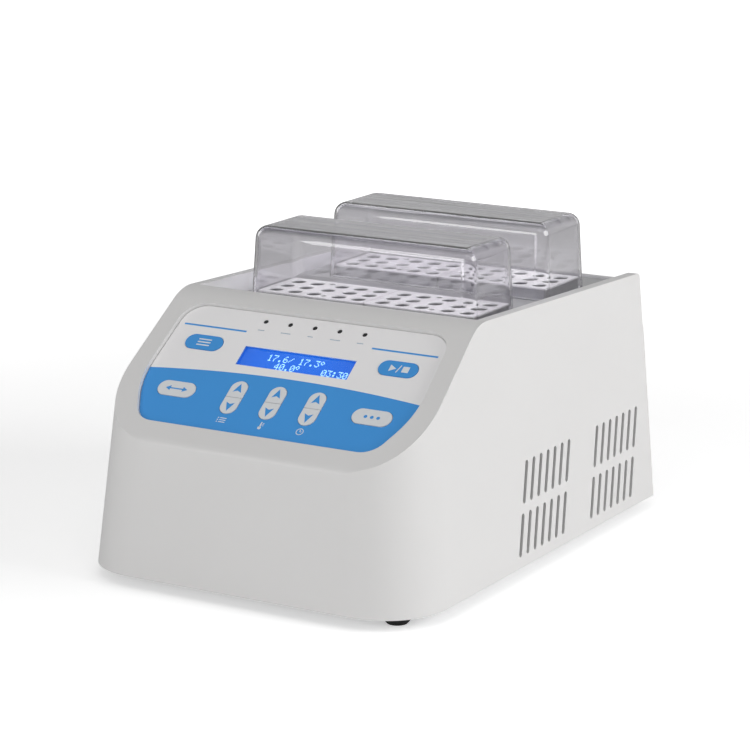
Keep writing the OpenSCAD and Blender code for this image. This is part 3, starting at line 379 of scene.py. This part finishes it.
finishes = {
    "casing": moulded_casing(),
    "base_metal": plain_metal("coated_sheet", (0.55, 0.56, 0.57), 0.45, 0.3),
    "steel": plain_metal("zinc_steel", (0.62, 0.63, 0.64), 0.32),
    "foot_rubber": moulded("foot_rubber", (0.018, 0.018, 0.018), 0.75, 900.0),
    "deck": brushed_deck(),
    "overlay": printed_film(),
    "key_blue": key_print("key_blue", PANEL_BLUE),
    "key_white": key_print("key_white", CAP_WHITE),
    "lens": clear_lens(),
    "display": moulded("display_frame", (0.03, 0.03, 0.035), 0.4),
    "lamp": moulded("lamp_dark", (0.012, 0.012, 0.014), 0.2),
    "board": moulded("board_green", (0.02, 0.14, 0.06), 0.4),
    "component": moulded("component_black", (0.03, 0.03, 0.032), 0.5),
    "well_metal": plain_metal("pot_aluminium", (0.70, 0.70, 0.70), 0.4),
    "foil": moulded("amber_film", (0.42, 0.14, 0.03), 0.35),
    "felt": moulded("fibre_mat", (0.62, 0.58, 0.47), 0.95, 400.0),
    "block_metal": block_metal(),
    "clear": clear_cover(),
    "inlet_black": moulded("inlet_black", (0.016, 0.016, 0.017), 0.45),
    "brass": plain_metal("plated_brass", (0.65, 0.50, 0.24), 0.3),
}
shown_ink = {
    "ink_blue": ink("ink_blue", PANEL_BLUE),
    "ink_white": ink("ink_white", (0.82, 0.86, 0.90)),
    "ink_faint": ink("ink_faint", (0.34, 0.44, 0.56)),
    "display_blue": lit_display(),
    "display_dot": lit_dot(),
}


def dress_nodes():
    """Gives every carried-over node the finish of its slot."""
    slots = {s["node"]: s["material_slot"] for s in frame["record"]["subparts"]}
    for name, node in frame["nodes"].items():
        node.data.materials.clear()
        node.data.materials.append(finishes[slots[name]])


# ---------------------------------------------------------------- printed marks and the display
def piece(name, bm, body, material):
    """Makes an object of the mesh, which moves with the body and takes the slot's finish."""
    mesh = bpy.data.meshes.new(name)
    bm.to_mesh(mesh)
    bm.free()
    made = bpy.data.objects.new(name, mesh)
    scene.collection.objects.link(made)
    made.data.materials.append(material)
    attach(made, body)
    return made


def fixed_order(bm):
    """Orders the elements by place, since extruding and rounding order them anew in each run."""
    slant = Vector((1.0, math.sqrt(2), math.sqrt(3)))
    bm.verts.sort(key=lambda vert: vert.co @ slant)
    bm.edges.sort(key=lambda edge: (edge.verts[0].co + edge.verts[1].co) @ slant)
    bm.faces.sort(key=lambda face: face.calc_center_median() @ slant)


def bar(bm, u, v, n, w, h, turn=0.0, thick=INK_T):
    """Flat bar, w along the panel and h up its slope, standing on the level n."""
    at = panel_matrix(u, v, n, turn) @ Matrix.Diagonal((w * MM, h * MM, thick * MM, 1))
    bmesh.ops.create_cube(bm, size=1.0, matrix=at @ Matrix.Translation((0, 0, 0.5)))


def disc(bm, u, v, n, r, sides=24, turn=0.0):
    at = panel_matrix(u, v, n + INK_T / 2, turn)
    bmesh.ops.create_cone(bm, cap_ends=True, segments=sides, radius1=r * MM, radius2=r * MM,
                          depth=INK_T * MM, matrix=at)


def ring(bm, u, v, n, r, width, sides=28, overlap=1.08):
    """Ring of short bars, each a little longer than its share of the way round."""
    chord = 2 * math.pi * r / sides * overlap
    for i in range(sides):
        a = 2 * math.pi * (i + 0.5) / sides
        bar(bm, u + math.cos(a) * r, v + math.sin(a) * r, n, width, chord, math.degrees(a))


def arrow_head(bm, u, v, n, r, turn):
    """Plain triangle whose tip lies r from its middle, to the right for turn 0."""
    disc(bm, u, v, n, r, 3, turn - 90)


def notched_arrow(bm, u, v, n, way, half_w=2.9, half_h=3.4, notch=1.3):
    """Arrow head with a notched foot, pointing up the slope for way 1 and down it for way -1."""
    at = panel_matrix(u, v, n, 0 if way > 0 else 180)
    corners = [(0, half_h), (-half_w, -half_h), (0, notch - half_h), (half_w, -half_h)]
    face = bm.faces.new([bm.verts.new(at @ Vector((x * MM, y * MM, 0))) for x, y in corners])
    grown = bmesh.ops.extrude_face_region(bm, geom=[face])
    lifted = [g for g in grown["geom"] if isinstance(g, bmesh.types.BMVert)]
    bmesh.ops.translate(bm, vec=PANEL_N * INK_T * MM, verts=lifted)
    bmesh.ops.recalc_face_normals(bm, faces=bm.faces)
    fixed_order(bm)


ARROW_COLUMNS = {word: i * ARROW_PITCH + ARROW_X for word, i in (("prog", -1), ("temp", 0), ("time", 1))}


def key_marks():
    """Icons on the keys: arrows, bars, play and stop, a double arrow, three dots."""
    n = KEY_TOP
    for word, u in ARROW_COLUMNS.items():
        for side, way in (("up", 1), ("down", -1)):
            bm = bmesh.new()
            notched_arrow(bm, u, ARROW_V + way * ARROW_MID, n, way)
            piece(f"mark_{word}_{side}", bm, f"key_{word}_{side}_body", shown_ink["ink_blue"])
    bm = bmesh.new()
    for k in (-1, 0, 1):
        bar(bm, -KEY_X, KEY_UP_V + k * 2.2, n, ICON_L, ICON_LINE)
    piece("mark_option", bm, "key_option_body", shown_ink["ink_white"])
    bm = bmesh.new()
    arrow_head(bm, KEY_X - 4.2, KEY_UP_V, n, 2.9, 0)
    bar(bm, KEY_X + 0.4, KEY_UP_V, n, 0.7, 6.0, -18)
    bar(bm, KEY_X + 5.0, KEY_UP_V, n, 4.4, 4.4)
    piece("mark_start", bm, "key_start_body", shown_ink["ink_white"])
    bm = bmesh.new()
    bar(bm, -KEY_X, KEY_LOW_V, n, ICON_L, ICON_LINE)
    for way, turn in ((1, 0), (-1, 180)):
        arrow_head(bm, -KEY_X + way * (ICON_L / 2 + ICON_LINE), KEY_LOW_V, n, 2.2, turn)
    piece("mark_swap", bm, "key_swap_body", shown_ink["ink_blue"])
    bm = bmesh.new()
    for k in (-1, 0, 1):
        disc(bm, KEY_X + k * 4.2, KEY_LOW_V, n, 1.15)
    piece("mark_mode", bm, "key_mode_body", shown_ink["ink_blue"])


def arrow_key_seats():
    """White strip between the two halves of each arrow key, a little below their faces."""
    for word, u in ARROW_COLUMNS.items():
        bm = bmesh.new()
        bar(bm, u, ARROW_V, KEY_TOP - 0.55, KEY_W - 0.6, 0.2, thick=0.45)
        piece(f"seat_{word}", bm, "housing", finishes["key_white"])


def film_marks():
    """Under the arrow keys a list, a thermometer and a clock; under the lamps short dashes."""
    n = OVERLAY_N
    bm = bmesh.new()
    v = ARROW_V - ARROW_L / 2 - SIGN_DROP
    u = ARROW_COLUMNS["prog"]
    for k in (-1, 0, 1):
        bar(bm, u + 0.8, v + k * 1.5, n, 4.4, 0.55)
        bar(bm, u - 2.6, v + k * 1.5, n, 0.7, 0.7)
    u = ARROW_COLUMNS["temp"]
    disc(bm, u, v - 1.5, n, 1.15)
    bar(bm, u, v + 0.6, n, 2 * SMALL_LINE, 3.6)
    disc(bm, u, v + 2.4, n, SMALL_LINE)
    for k in range(3):
        bar(bm, u + 1.5, v + 0.2 + k * 0.9, n, 1.1, 0.35)
    u = ARROW_COLUMNS["time"]
    ring(bm, u, v, n, 2.2, 0.5)
    bar(bm, u, v + 0.7, n, SMALL_LINE, 1.6)
    bar(bm, u + 0.55, v, n, 1.4, SMALL_LINE)
    piece("marks_under_arrows", bm, "housing", shown_ink["ink_white"])
    bm = bmesh.new()
    for i, w in zip(range(-2, 3), LAMP_MARK_LENGTHS):
        bar(bm, i * LAMP_PITCH, LAMP_V - LAMP_MARK_DROP, n, w, 0.5)
    piece("marks_under_lamps", bm, "housing", shown_ink["ink_faint"])


# A character module's 5 x 7 dot signs, row by row from the top
DISPLAY_LINES = ("    17.6/ 17.3o     ", "      40.0o    03:30")
GLYPHS = {
    " ": "",
    "0": "01110 10001 10011 10101 11001 10001 01110", "1": "00100 01100 00100 00100 00100 00100 01110",
    "3": "11111 00010 00100 00010 00001 10001 01110", "4": "00010 00110 01010 10010 11111 00010 00010",
    "6": "00110 01000 10000 11110 10001 10001 01110", "7": "11111 00001 00010 00100 01000 01000 01000",
    ".": "00000 00000 00000 00000 00000 01100 01100", ":": "00000 01100 01100 00000 01100 01100 00000",
    "/": "00000 00001 00010 00100 01000 10000 00000", "o": "01100 10010 10010 01100 00000 00000 00000",
}


def display():
    """Blue module behind the window, and the dots of its two lines of signs."""
    module_t, dot_t = 1.3, 0.03
    dot_u, dot_v, dot_fill = 0.62, 0.70, 0.88
    sign_pitch, first_sign, row_half = 3.62, -33.8, 2.95
    rows_v = LCD_V - 0.6
    bm = bmesh.new()
    bar(bm, 0, LCD_V, LCD_FACE, LCD_W + 1.2, LCD_H + 1.2, thick=module_t)
    piece("display_glass", bm, "housing", shown_ink["display_blue"])
    bm = bmesh.new()
    for row_v, line in ((row_half, DISPLAY_LINES[0]), (-row_half, DISPLAY_LINES[1])):
        for col, sign in enumerate(line):
            for r, bits in enumerate(GLYPHS[sign].split()):
                for c, bit in enumerate(bits):
                    if bit == "1":
                        u = first_sign + col * sign_pitch + (c - 2) * dot_u
                        v = rows_v + row_v + (3 - r) * dot_v
                        bar(bm, u, v, LCD_FACE + module_t, dot_u * dot_fill, dot_v * dot_fill, thick=dot_t)
    piece("display_figures", bm, "housing", shown_ink["display_dot"])


# ---------------------------------------------------------------- covers
def open_box(bm, w, d, low, high, lean, r, steps=8):
    """Box without a floor: sides drawn in towards the top by lean, the other edges rounded to r."""
    size = Matrix.Diagonal((w, d, high - low, 1))
    made = bmesh.ops.create_cube(bm, size=1.0, matrix=Matrix.Translation((0, 0, (low + high) / 2)) @ size)
    verts = set(made["verts"])
    draw_in = math.tan(lean) * (high - low)
    for vert in verts:
        if vert.co.z > (low + high) / 2:
            vert.co.x -= math.copysign(draw_in, vert.co.x)
            vert.co.y -= math.copysign(draw_in, vert.co.y)
    faces = {f for vert in verts for f in vert.link_faces}
    bottom = min(faces, key=lambda f: f.calc_center_median().z)
    bmesh.ops.delete(bm, geom=[bottom], context="FACES_ONLY")
    edges = [e for e in bm.edges if e.verts[0] in verts and not e.is_boundary]
    before = set(bm.faces) - faces
    bmesh.ops.bevel(bm, geom=edges, offset=r, offset_type="OFFSET", affect="EDGES",
                    segments=steps, profile=0.5, material=-1)
    own = sorted((f for f in bm.faces if f not in before), key=lambda f: f.calc_area())
    flat_sides = 5
    for f in own[:-flat_sides]:
        f.smooth = True
    return own


def moulded_cover(zone):
    """Clear cover as a thin moulding with broad round edges."""
    name = f"cover_{zone}"
    low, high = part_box(name)
    w, d = high[0] - low[0], high[1] - low[1]
    wall, lean, r = COVER_WALL * MM, math.radians(COVER_LEAN), COVER_ROUND * MM
    bm = bmesh.new()
    open_box(bm, w, d, low[2], high[2], lean, r)
    inner = open_box(bm, w - 2 * wall, d - 2 * wall, low[2], high[2] - wall, lean, r - wall)
    bmesh.ops.reverse_faces(bm, faces=inner)
    rim = bmesh.ops.bridge_loops(bm, edges=[e for e in bm.edges if e.is_boundary])
    for f in rim["faces"]:
        f.smooth = False
        for e in f.edges:
            e.smooth = False
    bmesh.ops.translate(bm, vec=((low[0] + high[0]) / 2, (low[1] + high[1]) / 2, 0), verts=bm.verts)
    fixed_order(bm)
    made = piece(f"{name}_moulding", bm, f"{name}_body", finishes["clear"])
    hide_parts(name)


# ---------------------------------------------------------------- light and floor
def lamp(name, size, power, at, aim):
    data = bpy.data.lights.new(name, "AREA")
    data.shape = "RECTANGLE"
    data.size, data.size_y = size
    data.energy = power
    made = bpy.data.objects.new(name, data)
    scene.collection.objects.link(made)
    made.location = at
    made.rotation_mode = "QUATERNION"
    made.rotation_quaternion = (Vector(aim) - Vector(at)).to_track_quat("-Z", "Y")


def backdrop():
    """White where the camera sees it, soft light elsewhere, a little brighter in reflections."""
    world = bpy.data.worlds.new("studio")
    scene.world = world
    world.use_nodes = True
    nodes, link = world.node_tree.nodes, world.node_tree.links.new
    nodes.clear()
    rays = nodes.new("ShaderNodeLightPath").outputs
    levels = []
    for strength in (0.25, 1.0):
        level = nodes.new("ShaderNodeBackground")
        level.inputs["Color"].default_value = (1, 1, 1, 1)
        level.inputs["Strength"].default_value = strength
        levels.append(level)
    shine = nodes.new("ShaderNodeMath")
    shine.operation = "MULTIPLY"
    shine.inputs[1].default_value = 0.35
    link(rays["Is Glossy Ray"], shine.inputs[0])
    seen = shine.outputs[0]
    for ray in ("Is Transmission Ray", "Is Camera Ray"):
        either = nodes.new("ShaderNodeMath")
        either.operation = "MAXIMUM"
        link(rays[ray], either.inputs[0])
        link(seen, either.inputs[1])
        seen = either.outputs[0]
    mix = nodes.new("ShaderNodeMixShader")
    link(seen, mix.inputs[0])
    for level, socket in zip(levels, (1, 2)):
        link(level.outputs[0], mix.inputs[socket])
    link(mix.outputs[0], nodes.new("ShaderNodeOutputWorld").inputs[0])


def studio():
    backdrop()
    lamp("side_light", (1.6, 1.2), 26.5, (2.0, 0.4, 0.85), (0.1, 0, 0.1))
    lamp("front_light", (1.4, 1.0), 14.2, (-0.7, -2.1, 0.6), (0, -0.1, 0.08))
    lamp("upper_light", (1.2, 1.0), 5.2, (0.5, -0.9, 1.9), (0, -0.05, 0.12))


def floor():
    """White floor that keeps the object's shadow: its own glow grows with the distance from the object."""
    bm = bmesh.new()
    bmesh.ops.create_grid(bm, x_segments=1, y_segments=1, size=6.0)
    mesh = bpy.data.meshes.new("floor")
    bm.to_mesh(mesh)
    bm.free()
    made = bpy.data.objects.new("floor", mesh)
    scene.collection.objects.link(made)
    f = Finish("floor_paper", (1, 1, 1), 1.0, specular_ior_level=0.0)
    tree = f.tree
    rays = tree.nodes.new("ShaderNodeLightPath")
    lit = tree.nodes.new("ShaderNodeEmission")
    away = f.node("ShaderNodeVectorMath", {"operation": "LENGTH"}, {0: f.place()}, out=1)
    near, far, glow_near, glow_far = 0.35, 1.3, 0.45, 1.0
    glow = f.node("ShaderNodeMapRange", {"interpolation_type": "SMOOTHSTEP"},
                  {0: away, 1: near, 2: far, 3: glow_near, 4: glow_far})
    tree.links.new(glow.socket, lit.inputs["Strength"])
    add = tree.nodes.new("ShaderNodeAddShader")
    tree.links.new(f.shader.outputs[0], add.inputs[0])
    tree.links.new(lit.outputs[0], add.inputs[1])
    mix = tree.nodes.new("ShaderNodeMixShader")
    tree.links.new(rays.outputs["Is Camera Ray"], mix.inputs[0])
    tree.links.new(f.shader.outputs[0], mix.inputs[1])
    tree.links.new(add.outputs[0], mix.inputs[2])
    tree.links.new(mix.outputs[0], tree.nodes["Material Output"].inputs[0])
    mesh.materials.append(f.material)


aim_camera()
dress_nodes()
key_marks()
arrow_key_seats()
film_marks()
display()
for zone in "ab":
    moulded_cover(zone)
studio()
floor()
scene.view_settings.view_transform = "Standard"
